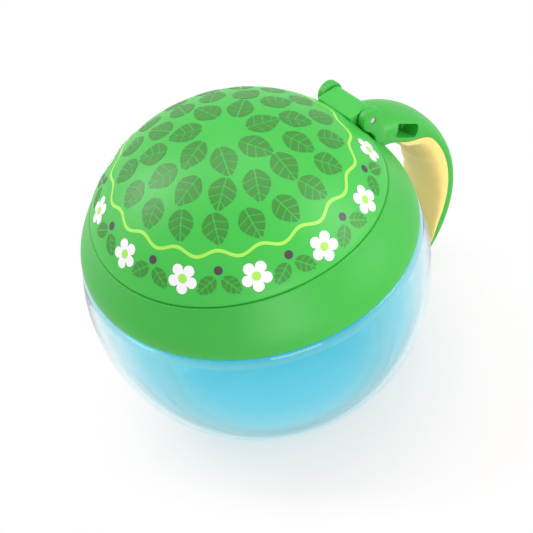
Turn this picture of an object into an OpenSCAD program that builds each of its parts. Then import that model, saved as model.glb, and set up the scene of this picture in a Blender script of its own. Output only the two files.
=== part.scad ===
// Snack cup for toddlers: a round clear bowl, a screw-on collar with a
// slit soft membrane in its mouth, a hinged dome lid and a side handle
// with a soft ribbed grip. Millimetres. +Z is up, the bowl stands on z = 0
// with its axis on the origin, and the handle points along +Y.

/* [Bowl] */
// Largest outer diameter of the bowl
bowl_d = 93.5; // [88:0.5:110]
// Height of the widest point above the base
bowl_belly_z = 35.3; // [28:0.1:40]
// Height at which the bowl ends and the collar starts
seam_z = 47.6; // [44:0.2:60]
// Depth of the full curve below the belly, before the base cuts it
bowl_curve_h = 43.1; // [42:0.1:60]
// Fullness of the lower curve, 2 is an ellipse
bowl_power = 2.3; // [2:0.05:2.8]
// Wall thickness of the bowl
bowl_wall = 1.9; // [1.4:0.1:2.4]
// Thickness of the bowl's floor
bowl_floor = 2.4; // [1.6:0.1:4]
// Height over which the side rounds into the flat base
base_edge_h = 3; // [1:0.25:4]
// Height of the threaded neck above the seam
neck_h = 5.8; // [5.6:0.1:8]

/* [Collar] */
// Outer diameter at the collar's lower edge
collar_d = 90; // [86:0.5:106]
// How far the upper rim lies inside the lower edge
collar_taper = 5.35; // [3.5:0.05:7.5]
// Height of the collar at its front and back
collar_h = 12.6; // [11.5:0.1:18]
// How far the flank bulges past a straight cone at half height
collar_bulge = 0.8; // [0:0.05:2]
// How much fuller the flank is below half height than above it
collar_low_full = 3; // [0:0.5:6]
// How far the rim's centre stands forward of the bowl's axis
rim_shift = 1.2; // [0:0.1:2]
// How much higher the rim stands at its left and right than at its front
saddle_rise = 2; // [0:0.1:4]
// Wall thickness at the lower edge
collar_wall = 2.8; // [2.4:0.1:3.4]
// Wall thickness at the upper rim
rim_wall = 2.2; // [1.6:0.1:3]

/* [Mouth] */
// Width of the ledge between the bowl's neck and the mouth
mouth_ledge = 5.3; // [4.4:0.1:7.5]
// Thickness of the deck around the mouth
deck_t = 1.6; // [1.2:0.1:2.4]
// Thickness of the soft membrane and its flaps
membrane_t = 1.1; // [0.8:0.05:1.4]
// Height of the ring that holds the membrane
retainer_h = 1.3; // [1:0.1:1.8]
// Width of the slits between the flaps
slit_w = 0.4; // [0.3:0.05:0.8]
// Diameter of the small hole where the slits meet
slit_hole_d = 3; // [2:0.5:6]
// Height of the seal ring on the bowl's edge
seal_h = 1.4; // [1:0.1:1.6]

/* [Thread] */
// Number of thread ramps around the neck
thread_starts = 3; // [3:1:4]
// Rise of the thread in one full turn
thread_lead = 12; // [9:0.5:14]
// Length of each ramp in degrees
ramp_arc = 54; // [36:2:54]
// Height of a ramp
ramp_h = 1.1; // [0.8:0.1:1.3]
// How far the bowl's ramps stand out of the neck
ramp_out = 1.5; // [1.2:0.1:1.7]

/* [Lid] */
// Height of the lid's dome above the rim
dome_h = 23.9; // [18:0.1:30]
// Wall thickness of the lid
lid_wall = 1.8; // [1.4:0.1:2.4]
// How far the lid's plug reaches down past the rim
plug_h = 2.6; // [2:0.1:2.8]
// Wall thickness of the plug
plug_wall = 1.6; // [1.2:0.1:2]
// Height of the plug's seal ring
plug_seal_h = 1.3; // [1:0.1:1.6]

/* [Hinge] */
// Diameter of the hinge pin
pin_d = 1.8; // [1.5:0.1:2.4]
// Height of the pin above the rim
pin_up = 5.7; // [5.2:0.1:7]
// Radius of the rounded ends of the ears
ear_r = 3.4; // [3.1:0.1:4]
// Thickness of each ear
ear_t = 2.5; // [2:0.1:3.5]
// Width of the lid's lug between the ears
lug_w = 13; // [8:0.5:16]
// Radius of the lug's barrel, up to its flat top
lug_r = 2.7; // [2.2:0.1:3]
// How far the lug's flat top reaches forward of the pin
lug_front = 5.3; // [4.6:0.1:7]

/* [Handle] */
// How far the back of the handle stands out from the collar's lower edge
handle_out = 22; // [20:0.5:26]
// Height of the handle's furthest point
handle_z = 30; // [26:0.2:34]
// Radius of the handle's upper arc
arc_top_r = 32.4; // [30:0.2:38]
// Radius of the handle's lower arc
arc_low_r = 32; // [28:0.5:40]
// Angle that the lower arc turns through
arc_low_turn = 56; // [40:1:58]
// Width of the handle
handle_w = 16; // [12:0.5:18]
// Thickness of the handle at its root
arm_root_t = 7.6; // [6.6:0.1:9]
// Thickness of the handle along the grip
arm_t = 4.1; // [3:0.1:5]
// Thickness of the handle at its tip
arm_tip_t = 2.4; // [1.8:0.1:3]
// Length of the pocket in the handle's side
pocket_l = 8.2; // [4:0.2:9]
// Height of the pocket in the handle's side
pocket_h = 3.8; // [2:0.1:4.4]
// Thickness of the soft grip at its fullest
grip_t = 5.9; // [3:0.1:7]
// Number of ribs along the grip
rib_count = 8; // [4:1:12]
// Depth of the grooves between the ribs
rib_depth = 0.5; // [0:0.1:0.8]

/* [Clearances] */
// Gap between pieces that move past each other
run_gap = 0.3; // [0.2:0.05:0.4]
// Gap between a soft piece and its seat
soft_gap = 0.2; // [0.1:0.05:0.3]
// Radial play of the pin in the lid's lug
pin_play = 0.08; // [0.02:0.01:0.1]
// Gap of a piece that is pressed into its seat
press_gap = 0.02; // [0.01:0.01:0.05]
// Play between the two sets of thread ramps
thread_gap = 0.4; // [0.35:0.05:0.5]

/* [Hidden] */
$fn = 96;
// a cut runs this far past the face it opens
eps = 0.05;
far = 200;
flap_count = 8;

// bowl
bowl_r = bowl_d / 2;
collar_r = collar_d / 2;
rim_r = collar_r - collar_taper;
rim_z = seam_z + collar_h;
shoulder_z = seam_z - soft_gap;
neck_top_z = shoulder_z + neck_h + soft_gap;
bore_r = collar_r - collar_wall;
// room between the bowl's ramps and the collar's bore
ramp_room = 0.7;
neck_r = bore_r - ramp_out - ramp_room;
neck_in_r = neck_r - bowl_wall;
upper_bore_r = neck_r + run_gap;
// each ramp is rooted this deep in its wall
ramp_root = 0.5;
// height of the rounding between the bowl's floor and its side
floor_round = 3;
ramp_z = shoulder_z + ramp_h + thread_gap + run_gap;
ramp_rise = thread_lead * ramp_arc / 360;
bore_step_z = ramp_z + ramp_rise + ramp_h + run_gap;

// collar, deck and the stack under it
seal_z = neck_top_z + soft_gap;
deck_z = seal_z + seal_h + soft_gap;
deck_top = deck_z + deck_t;
mouth_r = neck_in_r - mouth_ledge;
skirt_t = 1.2;
skirt_out_r = neck_in_r - run_gap;
skirt_in_r = skirt_out_r - skirt_t;
membrane_z = deck_z - soft_gap - membrane_t;
retainer_z = membrane_z - soft_gap - retainer_h;
// how far the retainer stands back from the mouth's edge
retainer_back = 0.6;
retainer_in_r = mouth_r + retainer_back;
snap_lip = 0.45;
rim_in_r = rim_r - rim_wall;
saddle_r = pow(rim_r, 2) / (2 * max(saddle_rise, 0.01));

// flaps
flap_turn = 360 / flap_count;
flap_root = membrane_t / 2;
flap_apothem = (mouth_r - run_gap) * cos(flap_turn / 2);
ring_apothem = flap_apothem + flap_root + soft_gap;

// lid
dome_r = (pow(rim_r, 2) + pow(dome_h, 2)) / (2 * dome_h);
dome_z = rim_z + dome_h - dome_r;
// gap between the plug and the collar's inner wall, bridged by the seal's lip
plug_gap = 1.75;
lip_out = 1.1;
plug_out_r = rim_in_r - plug_gap;
plug_z = rim_z - plug_h;
groove_depth = 0.6;
groove_up = 0.8;
groove_z = plug_z + groove_up;

// hinge
pin_r = pin_d / 2;
// how far the pin stands inside the rim
pin_inset = 0.2;
pin_y = rim_r - rim_shift - pin_inset;
pin_z = rim_z + pin_up;
// how far the pin's end lies under the ear's face
pin_sunk = 0.15;
ear_in_x = lug_w / 2 + run_gap;
ear_out_x = ear_in_x + ear_t;

// handle
half_w = handle_w / 2;
handle_reach = collar_r + handle_out;
arc_top_y = handle_reach - arc_top_r;
arc_low_y = handle_reach - arc_low_r;
// how far the boss's face lies inside the collar's lower edge
root_inset = 0.7;
root_y = collar_r - root_inset;
root_turn = acos((root_y - arc_top_y) / arc_top_r);
grip_top_turn = 60;
grip_low_turn = arc_low_turn - 2;
crown_root = 4;
crown_tip = 1.8;
thin_from = 54;
thin_to = 31;
crown_from = 70;
pocket_turn = 56.2;
pocket_in = 4.3;
web_half = 2.5;
spigot = [8, 1.8, 3.6];
grip_edge = 0.3;
grip_min = 0.25;
seat_gap = 0.02;

// ---- helpers ----------------------------------------------------------

// cuts away everything above the saddle-shaped parting face, raised by lift
module above_saddle(lift = 0)
  translate([0, 0, rim_z + lift + saddle_r]) rotate([90, 0, 0])
    cylinder(r = saddle_r, h = far, center = true, $fn = 360);

// skin over a list of closed outlines that all have as many points, each drawn
// counter-clockwise about the way the list runs
module skin(rings) {
  n = len(rings[0]);
  m = len(rings);
  points = [for (r = rings) each r];
  sides = [for (j = [0 : m - 2], i = [0 : n - 1])
    let (a = j * n + i, b = j * n + (i + 1) % n)
      each [[a, b + n, b], [a, a + n, b + n]]];
  low = [[for (i = [0 : n - 1]) i]];
  top = [[for (i = [n - 1 : -1 : 0]) (m - 1) * n + i]];
  polyhedron(points, concat(sides, low, top));
}

module ring(r_out, r_in, h)
  difference() {
    cylinder(r = r_out, h = h);
    translate([0, 0, -eps]) cylinder(r = r_in, h = h + 2 * eps);
  }

// one thread ramp, a bar that climbs along a helix
module ramp(r_in, r_out, z_low, n = 10)
  skin([for (i = [0 : n])
    let (turn = ramp_arc * (i / n - 0.5), z = z_low + ramp_rise * i / n)
      [for (p = [[r_in, z], [r_in, z + ramp_h], [r_out, z + ramp_h], [r_out, z]])
        [p[0] * cos(turn), p[0] * sin(turn), p[1]]]]);

module ramps(r_in, r_out, z_low)
  for (k = [0 : thread_starts - 1])
    rotate([0, 0, 360 * k / thread_starts]) ramp(r_in, r_out, z_low);

// ---- bowl -------------------------------------------------------------

// outer radius of the bowl at height z
function bowl_at(z) =
  z < bowl_belly_z
    ? bowl_r * pow(1 - pow((bowl_belly_z - z) / bowl_curve_h, bowl_power), 1 / bowl_power)
    : bowl_r - (bowl_r - collar_r + 0.1)
        * pow((z - bowl_belly_z) / (shoulder_z - bowl_belly_z), 2);

function bowl_side(z_from, z_to, inset, n = 18, first = 0) =
  [for (i = [first : n]) let (z = z_from + (z_to - z_from) * i / n) [bowl_at(z) - inset, z]];

// rounded edge, a quadratic curve that leaves the base and meets the side as tangents
function base_edge(n = 6) =
  let (
    side = [bowl_at(base_edge_h), base_edge_h],
    slope = (bowl_at(base_edge_h + eps) - side[0]) / eps,
    corner = [side[0] - slope * base_edge_h, 0],
    flat = [corner[0] - norm(side - corner), 0])
    [for (i = [0 : n - 1]) let (t = i / n)
      flat * pow(1 - t, 2) + corner * 2 * t * (1 - t) + side * t * t];

module bowl() color([0.45, 0.83, 0.89, 0.6]) {
  side_low = bowl_side(base_edge_h, bowl_belly_z, 0);
  side_up = bowl_side(bowl_belly_z, shoulder_z, 0, 7, 1);
  in_low = bowl_side(bowl_floor + floor_round, bowl_belly_z, bowl_wall, 14);
  in_up = bowl_side(bowl_belly_z, shoulder_z - 2 * bowl_wall, bowl_wall, 6, 1);
  floor_r = in_low[0][0] - floor_round;
  difference() {
    union() {
      rotate_extrude()
        polygon(concat([[0, 0]], base_edge(), side_low, side_up, [[0, shoulder_z]]));
      translate([0, 0, shoulder_z - eps]) cylinder(r = neck_r, h = neck_top_z - shoulder_z + eps);
      ramps(neck_r - ramp_root, neck_r + ramp_out, ramp_z);
    }
    rotate_extrude()
      polygon(concat([[0, bowl_floor], [floor_r, bowl_floor]], in_low, in_up,
        [[neck_in_r, shoulder_z - bowl_wall / 2], [neck_in_r, neck_top_z + eps],
          [0, neck_top_z + eps]]));
  }
}

// flat seal ring between the bowl's edge and the deck
module bowl_seal() color([0.93, 0.95, 0.92])
  translate([0, 0, seal_z]) ring(neck_r, neck_in_r, seal_h);

// ---- collar -----------------------------------------------------------

// outer radius of the collar at a share t of its height
function collar_at(t) =
  let (mid = (collar_r + rim_r) / 2 + collar_bulge)
    collar_r * (1 - t) * (1 - 2 * t) + 4 * mid * t * (1 - t) + rim_r * t * (2 * t - 1)
      + collar_low_full * t * (1 - t) * (1 - 2 * t);

// height that the saddle-shaped rim gains towards the left and right
function saddle_at(turn) =
  saddle_r - sqrt(pow(saddle_r, 2) - pow(rim_r * cos(turn), 2));

// the flank at share t of its height, lofted from the round seam to the saddle rim
function collar_ring(t, n = 96) =
  [for (i = [0 : n - 1])
    let (
      turn = 360 * i / n,
      rise = saddle_at(turn),
      top_r = sqrt(pow(dome_r, 2) - pow(rim_z + rise - dome_z, 2)),
      r = collar_at(t) - t * (rim_r - top_r))
      [r * cos(turn), r * sin(turn) - rim_shift * t,
        seam_z + t * (collar_h + rise)]];

module collar_outside()
  skin([for (t = [0 : 0.15 : 1.05]) collar_ring(t)]);

// ear on either side of the lug, its foot clear of the lid's dome in front of it
module ears()
  for (x = [ear_in_x, -ear_out_x]) {
    translate([x, pin_y, pin_z]) rotate([0, 90, 0]) cylinder(r = ear_r, h = ear_t);
    difference() {
      translate([x, pin_y - ear_r, deck_top]) cube([ear_t, 2 * ear_r, pin_z - deck_top]);
      dome(-run_gap);
    }
  }

module collar() color([0.33, 0.78, 0.34]) {
  collar_shell();
  ramps(neck_r + ramp_root, bore_r + ramp_root, ramp_z - thread_gap - ramp_h);
  membrane_skirt();
}

module collar_shell()
  difference() {
    union() {
      difference() {
        collar_outside();
        above_saddle();
      }
      difference() {
        intersection() {
          handle_sweep();
          translate([-far / 2, 0, 0]) cube([far, root_y, far]);
        }
        lid_space();
      }
      ears();
      translate([0, root_y, root_mid_z()])
        cube([spigot[0], 2 * spigot[1], spigot[2]], center = true);
    }
    collar_bores();
    translate([0, pin_y, pin_z]) rotate([0, 90, 0]) {
      cylinder(r = pin_r + press_gap, h = far, center = true);
      cylinder(r = lug_r + run_gap, h = 2 * ear_in_x, center = true);
    }
  }

// room behind the rim that the lid's edge and the lug's foot need
module lid_space()
  translate([0, -rim_shift, rim_z]) cylinder(r = rim_r + 2 * run_gap, h = far);

module collar_bores() {
  cylinder(r = bore_r, h = bore_step_z);
  translate([0, 0, seam_z]) cylinder(r = upper_bore_r, h = deck_z - seam_z);
  translate([0, 0, seam_z]) cylinder(r = mouth_r, h = far);
  translate([0, -rim_shift, deck_top])
    cylinder(r = rim_in_r, h = rim_z + saddle_rise - deck_top);
}

// short skirt under the deck that holds the membrane, with a lip at its lower edge
module membrane_skirt()
  difference() {
    translate([0, 0, retainer_z - snap_lip])
      cylinder(r = skirt_out_r, h = deck_z - retainer_z + snap_lip + eps);
    translate([0, 0, retainer_z]) cylinder(r = skirt_in_r, h = far);
    cylinder(r = skirt_in_r - snap_lip, h = far);
  }

// ---- handle -----------------------------------------------------------

function ease(s) = let (c = min(1, max(0, s))) c * c * (3 - 2 * c);

// point on the handle's crest, its outward direction as [y, z] pairs
function crest(a) =
  a >= 0 ? [arc_top_y + arc_top_r * cos(a), handle_z + arc_top_r * sin(a)]
         : [arc_low_y + arc_low_r * cos(a), handle_z + arc_low_r * sin(a)];

function arm_thick(a) =
  a >= 0 ? arm_t + (arm_root_t - arm_t) * ease((a - thin_to) / (thin_from - thin_to))
         : arm_t + (arm_tip_t - arm_t) * ease((-a / arc_low_turn - 0.6) / 0.4);

function crown(a) =
  crown_root + (crown_tip - crown_root) * ease((crown_from - a) / (crown_from + arc_low_turn));

// height of the middle of the handle's root face
function root_mid_z() = crest(root_turn)[1] - arm_root_t * 0.55;

// a point of the handle at turn a, depth d under the crest, offset x
function handle_point(a, x, d) =
  let (c = crest(a)) [x, c[0] - d * cos(a), c[1] - d * sin(a)];

// outline of the arm across the path: a crowned back and a flat inner face
function arm_section(a, n = 12) =
  concat(
    [for (i = [0 : n]) let (u = 180 * i / n)
      handle_point(a, -half_w * cos(u), crown(a) * (1 - sin(u)))],
    [handle_point(a, half_w, arm_thick(a)), handle_point(a, -half_w, arm_thick(a))]);

// the whole arm, from inside the collar to its tip
module handle_sweep() {
  turn_top = 84;
  steps = 34;
  skin([for (i = [0 : steps])
    arm_section(turn_top - (turn_top + arc_low_turn) * i / steps)]);
}

module pocket(side)
  translate(handle_point(pocket_turn, 0, pocket_in)) rotate([pocket_turn - 90, 0, 0])
    translate([side > 0 ? web_half : -far / 2 - web_half, -pocket_l / 2, -pocket_h / 2])
      cube([far / 2, pocket_l, pocket_h]);

module handle_arm() color([0.33, 0.78, 0.34])
  difference() {
    intersection() {
      handle_sweep();
      translate([-far / 2, root_y + seat_gap, -far / 2]) cube([far, far, far]);
    }
    pocket(1);
    pocket(-1);
    translate([0, root_y, root_mid_z()])
      cube([spigot[0] + 2 * seat_gap, 2 * spigot[1] + 2 * eps, spigot[2] + 2 * seat_gap],
        center = true);
  }

// share of the full grip thickness at turn a: full above the middle, thin at both ends
function grip_share(a) =
  let (u = (grip_top_turn - a) / (grip_top_turn + grip_low_turn))
    max(0, sin(180 * pow(u, 0.8)));

function rib_wave(a) =
  let (u = (grip_top_turn - a) / (grip_top_turn + grip_low_turn))
    rib_depth * sin(180 * u) * (0.5 - 0.5 * cos(360 * rib_count * u));

// outline of the grip across the path: flat on the arm, crowned towards the hand
function grip_section(a, n = 12) =
  let (
    d0 = arm_thick(a) + seat_gap,
    full = grip_min + grip_t * grip_share(a) - rib_wave(a))
    concat(
      [handle_point(a, -half_w, d0), handle_point(a, half_w, d0)],
      [for (i = [0 : n]) let (u = 180 * i / n)
        handle_point(a, half_w * cos(u), d0 + full * (grip_edge + (1 - grip_edge) * sin(u)))]);

module handle_grip() color([0.95, 0.87, 0.55]) {
  steps = 8 * rib_count;
  skin([for (i = [0 : steps])
    grip_section(grip_top_turn - (grip_top_turn + grip_low_turn) * i / steps)]);
}

// ---- membrane ---------------------------------------------------------

// regular polygon with one flat side centred on the +X side
module flat_sided(apothem)
  rotate(flap_turn / 2) circle(r = apothem / cos(flap_turn / 2), $fn = flap_count);

module membrane_ring() color([0.90, 0.94, 0.90])
  translate([0, 0, membrane_z]) difference() {
    cylinder(r = skirt_in_r - soft_gap, h = membrane_t);
    translate([0, 0, -eps]) linear_extrude(membrane_t + 2 * eps) flat_sided(ring_apothem);
  }

// one soft petal with a rounded root, its hinge line along its straight outer edge
module flap(k) color([0.90, 0.94, 0.90])
  rotate([0, 0, flap_turn * (k - 1)]) intersection() {
    translate([0, 0, membrane_z]) union() {
      linear_extrude(membrane_t) difference() {
        intersection() {
          flat_sided(flap_apothem);
          flap_sector();
        }
        circle(d = slit_hole_d);
      }
      translate([flap_apothem, 0, flap_root]) rotate([90, 0, 0])
        cylinder(r = flap_root, h = 2 * flap_half_l(), center = true, $fn = 48);
    }
    translate([0, 0, membrane_z - 1]) linear_extrude(membrane_t + 2)
      offset_sector();
  }

// half length of a flap's hinge edge, short of the slit on either side
function flap_half_l() =
  flap_apothem * tan(flap_turn / 2) - slit_w / (2 * cos(flap_turn / 2));

// wedge between two slits
module flap_sector() {
  tip = slit_w / (2 * sin(flap_turn / 2));
  reach = 2 * mouth_r;
  polygon([[tip, 0],
    [tip + reach, reach * tan(flap_turn / 2)],
    [tip + reach, -reach * tan(flap_turn / 2)]]);
}

// the same wedge carried on past the hinge edge with straight sides
module offset_sector() {
  flap_sector();
  translate([flap_apothem, -flap_half_l()]) square([flap_root + 1, 2 * flap_half_l()]);
}

module membrane_retainer() color([0.88, 0.90, 0.88])
  translate([0, 0, retainer_z + seat_gap])
    ring(skirt_in_r - press_gap, retainer_in_r, retainer_h - seat_gap);

// ---- lid --------------------------------------------------------------

module hinge_pin() color([0.80, 0.80, 0.78])
  translate([0, pin_y, pin_z]) rotate([0, 90, 0])
    cylinder(r = pin_r, h = 2 * (ear_out_x - pin_sunk), center = true, $fn = 48);

module dome(inset)
  translate([0, -rim_shift, dome_z]) sphere(r = dome_r - inset, $fn = 160);

// flat-topped arm that carries the lid back to the pin
module lug() {
  front_y = pin_y - lug_front;
  translate([0, pin_y, pin_z]) rotate([0, 90, 0]) cylinder(r = lug_r, h = lug_w, center = true);
  rotate([90, 0, 90]) translate([0, 0, -lug_w / 2]) linear_extrude(lug_w)
    polygon([[pin_y, pin_z + lug_r], [front_y, pin_z + lug_r], [front_y, rim_z],
      [pin_y, rim_z]]);
}

module lid_shell() color([0.36, 0.80, 0.36])
  difference() {
    union() {
      difference() {
        union() {
          dome(0);
          lug();
        }
        dome(lid_wall);
        saddle_below(run_gap);
      }
      plug();
    }
    for (side = [-1, 1])
      translate([side * (ear_in_x + ear_t / 2), pin_y, pin_z]) rotate([0, 90, 0])
        cylinder(r = ear_r + run_gap, h = ear_t + 2 * run_gap, center = true);
    translate([0, pin_y, pin_z]) rotate([0, 90, 0])
      cylinder(r = pin_r + pin_play, h = far, center = true);
  }

// what lies under the raised parting face
module saddle_below(lift)
  difference() {
    translate([0, 0, rim_z + lift - far / 2 + saddle_rise + 1])
      cube([2 * far, 2 * far, far], center = true);
    above_saddle(lift);
  }

// ring under the dome that enters the collar, with a groove for its seal
module plug()
  translate([0, -rim_shift, 0]) difference() {
    intersection() {
      translate([0, 0, plug_z]) cylinder(r = plug_out_r, h = far);
      translate([0, 0, dome_z]) sphere(r = dome_r - lid_wall / 2, $fn = 160);
    }
    cylinder(r = plug_out_r - plug_wall, h = far);
    translate([0, 0, groove_z])
      ring(plug_out_r + eps, plug_out_r - groove_depth, plug_seal_h + 2 * seat_gap);
  }

// soft ring stretched into the plug's groove
module lid_seal() color([0.93, 0.95, 0.92])
  translate([0, -rim_shift, groove_z + seat_gap]) rotate_extrude()
    translate([plug_out_r - groove_depth + seat_gap, 0]) polygon([
      [0, 0], [groove_depth, 0], [groove_depth + lip_out, plug_seal_h * 0.35],
      [groove_depth + lip_out, plug_seal_h * 0.65], [groove_depth, plug_seal_h],
      [0, plug_seal_h]]);

// ---- nodes ------------------------------------------------------------

bowl();
bowl_seal();
collar();
handle_arm();
handle_grip();
membrane_ring();
flap(1);  // flap_1
flap(2);  // flap_2
flap(3);  // flap_3
flap(4);  // flap_4
flap(5);  // flap_5
flap(6);  // flap_6
flap(7);  // flap_7
flap(8);  // flap_8
membrane_retainer();
hinge_pin();
lid_shell();
lid_seal();
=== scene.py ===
"""Looks of a toddler's snack cup: a clear bowl, a screw-on collar, a printed dome
lid on a hinge, a side handle with a soft ribbed grip and a slit soft membrane in
the mouth. Shapes are worked out in millimetres and turned to metres at the end."""

from math import acos, atan2, cos, degrees, hypot, pi, radians, sin, sqrt, tan, tau
from types import SimpleNamespace

import bmesh
import bpy
from bpy.props import FloatProperty, FloatVectorProperty, PointerProperty
from mathutils import Matrix, Vector


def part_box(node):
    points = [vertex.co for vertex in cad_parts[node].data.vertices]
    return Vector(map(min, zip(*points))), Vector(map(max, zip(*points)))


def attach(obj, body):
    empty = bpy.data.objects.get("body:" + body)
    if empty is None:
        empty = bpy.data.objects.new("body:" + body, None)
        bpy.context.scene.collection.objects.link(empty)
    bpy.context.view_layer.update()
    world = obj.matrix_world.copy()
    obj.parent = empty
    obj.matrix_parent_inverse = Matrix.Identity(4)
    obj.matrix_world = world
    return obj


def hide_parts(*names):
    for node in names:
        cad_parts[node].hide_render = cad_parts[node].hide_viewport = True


bl_info = {
    "name": "Snack Cup",
    "version": (1, 0, 0),
    "blender": (4, 5, 0),
    "location": "View3D > Sidebar > Snack Cup",
    "description": "Dresses the packed snack cup with finished pieces, a stage and a camera",
    "category": "Object",
}

MM = 0.001
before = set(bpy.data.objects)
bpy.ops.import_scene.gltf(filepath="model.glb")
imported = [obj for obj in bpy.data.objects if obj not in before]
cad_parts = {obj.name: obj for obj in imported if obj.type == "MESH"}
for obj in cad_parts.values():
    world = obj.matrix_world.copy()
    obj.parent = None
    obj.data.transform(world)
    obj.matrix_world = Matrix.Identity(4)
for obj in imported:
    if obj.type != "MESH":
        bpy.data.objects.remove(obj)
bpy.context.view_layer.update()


def top_of(node):
    """Highest coordinates of a node, in metres."""
    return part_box(node)[1]


def bottom_of(node):
    """Lowest coordinates of a node, in metres."""
    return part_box(node)[0]


def length(name, text, value):
    """A length that a user can set, in metres."""
    return FloatProperty(name=name, description=text, default=value, unit="LENGTH", precision=5)


def tint(name, text, code):
    """A colour that a user can set, from its hex code."""
    return FloatVectorProperty(name=name, description=text, default=linear(code), size=3,
                               subtype="COLOR", min=0.0, max=1.0)


def linear(code):
    """The linear colour of an sRGB hex code."""
    channels = (int(code[i:i + 2], 16) / 255 for i in (1, 3, 5))
    return tuple(c / 12.92 if c <= 0.04045 else ((c + 0.055) / 1.055) ** 2.4 for c in channels)


# ---- what a user would change ----


class SNACKCUP_PG_sizes(bpy.types.PropertyGroup):
    """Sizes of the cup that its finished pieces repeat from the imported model"""

    bowl_r: length("Bowl radius", "Largest outer radius of the bowl", top_of("bowl").x)
    belly_z: length("Belly height", "Height of the bowl's widest point", 35.3 * MM)
    curve_h: length("Curve depth", "Depth of the full curve below the belly", 43.1 * MM)
    power: FloatProperty(name="Fullness", description="Fullness of the bowl's lower curve",
                         default=2.3)
    bowl_wall: length("Bowl wall", "Wall thickness of the bowl", 1.9 * MM)
    bowl_floor: length("Bowl floor", "Thickness of the bowl's floor", 2.4 * MM)
    base_edge_h: length("Base edge", "Height over which the side rounds into the base", 3 * MM)
    seam_z: length("Seam height", "Height at which the bowl ends and the collar starts",
                   bottom_of("collar").z)
    neck_r: length("Neck radius", "Outer radius of the threaded neck", 40 * MM)
    collar_r: length("Collar radius", "Outer radius at the collar's lower edge", 45 * MM)
    rim_r: length("Rim radius", "Outer radius at the collar's rim", 39.65 * MM)
    collar_h: length("Collar height", "Height of the collar at its front", 12.6 * MM)
    bulge: length("Collar bulge", "How far the flank stands proud of a cone", 0.8 * MM)
    low_full: length("Low fullness", "How much fuller the flank is below half height", 3 * MM)
    rim_shift: length("Rim shift", "How far the rim's centre stands forward", 1.2 * MM)
    saddle_rise: length("Saddle rise", "How much higher the rim stands at its sides", 2 * MM)
    mouth_r: length("Mouth radius", "Radius of the mouth in the deck", 32.8 * MM)
    dome_h: length("Dome height", "Height of the lid's dome over the rim", 23.9 * MM)
    lid_wall: length("Lid wall", "Wall thickness of the lid", 1.8 * MM)
    pin_y: length("Pin place", "Distance of the hinge pin behind the axis", 38.25 * MM)
    pin_z: length("Pin height", "Height of the hinge pin", 65.9 * MM)
    ear_r: length("Ear radius", "Radius of the ears' rounded ends", 3.4 * MM)
    lug_front: length("Lug reach", "How far the lug's flat top reaches forward of the pin",
                      5.3 * MM)
    handle_reach: length("Handle reach", "Distance from the axis to the handle's back",
                         top_of("handle_arm").y)
    handle_z: length("Handle height", "Height of the handle's furthest point", 30 * MM)
    handle_w: length("Handle width", "Width of the handle", 16 * MM)


class SNACKCUP_PG_colours(bpy.types.PropertyGroup):
    """Colours of the mouldings, the pin and the printing inks"""

    # Painted shade: the collar's green is set a little darker than the lid's, to stand for the
    # shade on its front; the handle shares it.
    collar: tint("Collar", "Green of the collar and the handle", "#34B23B")
    lid: tint("Lid", "Green of the lid", "#3CBC43")
    bowl: tint("Bowl", "Blue of the see-through bowl", "#88DDE9")
    # Painted shade: a deeper blue in the middle of the bowl's base.
    bowl_painted_shade: tint("Bowl, deep", "Blue in the middle of the bowl's base", "#60DBF0")
    # Painted reflection: a paler blue laid towards the bowl's outline.
    bowl_painted_reflection: tint("Bowl, pale", "Blue of the bowl towards its outline", "#E0F7FC")
    bowl_lit: tint("Bowl, lit", "Tint of the light that comes through the bowl", "#E8F0F2")
    grip: tint("Grip", "Yellow of the soft grip", "#FFDE82")
    membrane: tint("Membrane", "Milky white of the membrane and the seals", "#EDF3EA")
    clamp: tint("Clamp ring", "White of the ring that clamps the membrane", "#E3E8E2")
    pin: tint("Pin", "Bright steel of the hinge pin", "#D9D8D4")
    leaf_ink: tint("Leaf ink", "Dark green of the printed leaves", "#35882B")
    line_ink: tint("Line ink", "Lime of the printed lines", "#A6E85A")
    flower_ink: tint("Flower ink", "White of the printed flowers", "#F7F5F8")
    berry_ink: tint("Berry ink", "Charcoal of the printed berries", "#423A45")


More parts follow.
